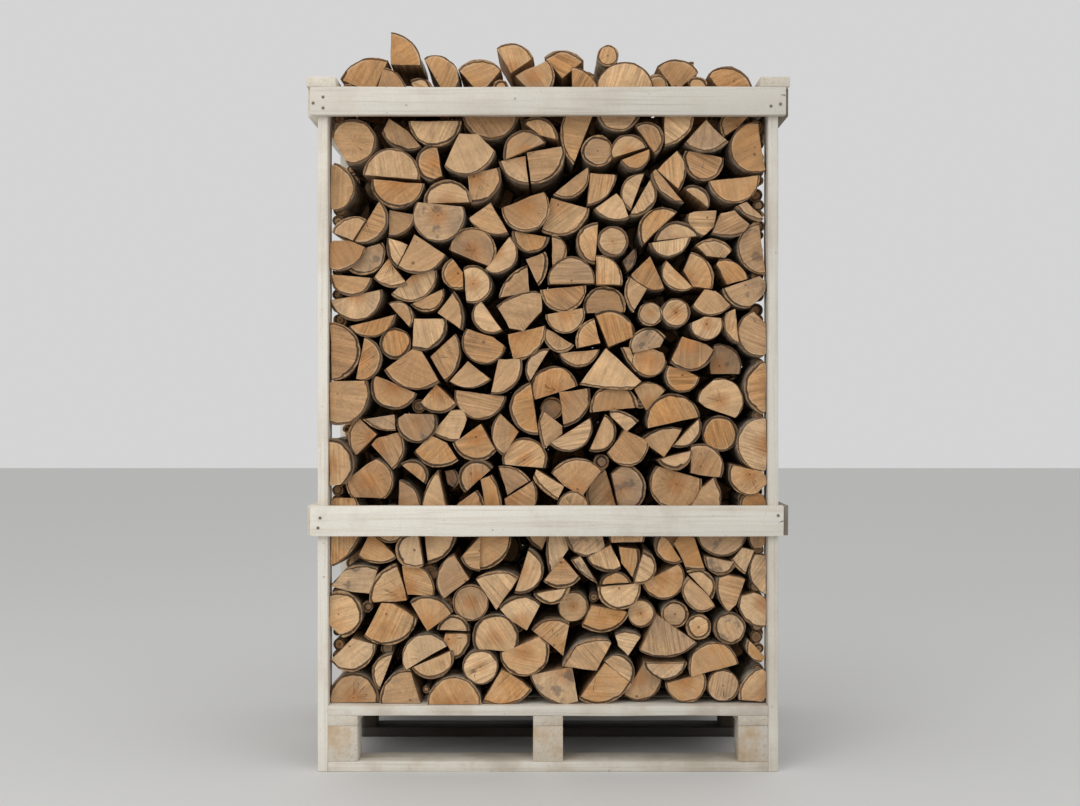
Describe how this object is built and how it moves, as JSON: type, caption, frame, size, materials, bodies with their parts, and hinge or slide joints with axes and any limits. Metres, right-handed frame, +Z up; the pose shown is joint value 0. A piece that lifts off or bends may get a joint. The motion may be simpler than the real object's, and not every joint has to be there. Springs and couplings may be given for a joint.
{
  "type": "firewood crate",
  "caption": "Pallet crate of pale sawn boards with posts, rails and cap boards, filled to above its rim with split birch logs.",
  "frame": {"origin": "middle of the footprint, on the surface that the pallet stands on", "axes": "+X to the right along the front rails, +Y from the front to the back along the logs, +Z up"},
  "size_m": [1.048, 0.824, 1.6169],
  "materials": {
    "crate_timber": "sawn, pale weathered spruce",
    "pallet_block": "sawn spruce end grain, faintly orange",
    "birch_firewood": "sawn and split birch with thin grey-brown bark"
  },
  "bodies": {
    "root": {"block_back_left": "pallet_block", "block_back_middle": "pallet_block", "block_back_right": "pallet_block", "block_front_left": "pallet_block", "block_front_middle": "pallet_block", "block_front_right": "pallet_block", "block_middle_left": "pallet_block", "block_middle_middle": "pallet_block", "block_middle_right": "pallet_block", "bottom_board_back": "crate_timber", "bottom_board_front": "crate_timber", "bottom_board_middle": "crate_timber", "cap_left": "crate_timber", "cap_right": "crate_timber", "deck_board_1": "crate_timber", "deck_board_2": "crate_timber", "deck_board_3": "crate_timber", "deck_board_4": "crate_timber", "deck_board_5": "crate_timber", "deck_board_6": "crate_timber", "deck_board_7": "crate_timber", "heap_log_01": "birch_firewood", "heap_log_02": "birch_firewood", "heap_log_03": "birch_firewood", "heap_log_04": "birch_firewood", "heap_log_05": "birch_firewood", "heap_log_06": "birch_firewood", "heap_log_07": "birch_firewood", "heap_log_08": "birch_firewood", "heap_log_09": "birch_firewood", "heap_log_10": "birch_firewood", "heap_log_11": "birch_firewood", "heap_log_12": "birch_firewood", "heap_log_13": "birch_firewood", "heap_log_14": "birch_firewood", "heap_log_15": "birch_firewood", "heap_log_16": "birch_firewood", "heap_log_17": "birch_firewood", "heap_log_18": "birch_firewood", "log_row_back": "birch_firewood", "log_row_front": "birch_firewood", "log_row_middle": "birch_firewood", "post_back_left": "crate_timber", "post_back_right": "crate_timber", "post_front_left": "crate_timber", "post_front_right": "crate_timber", "post_middle_left": "crate_timber", "post_middle_right": "crate_timber", "rail_mid_back": "crate_timber", "rail_mid_front": "crate_timber", "rail_mid_left": "crate_timber", "rail_mid_right": "crate_timber", "rail_top_back": "crate_timber", "rail_top_front": "crate_timber", "rail_top_left": "crate_timber", "rail_top_right": "crate_timber", "stringer_left": "crate_timber", "stringer_middle": "crate_timber", "stringer_right": "crate_timber"}
  },
  "joints": []
}
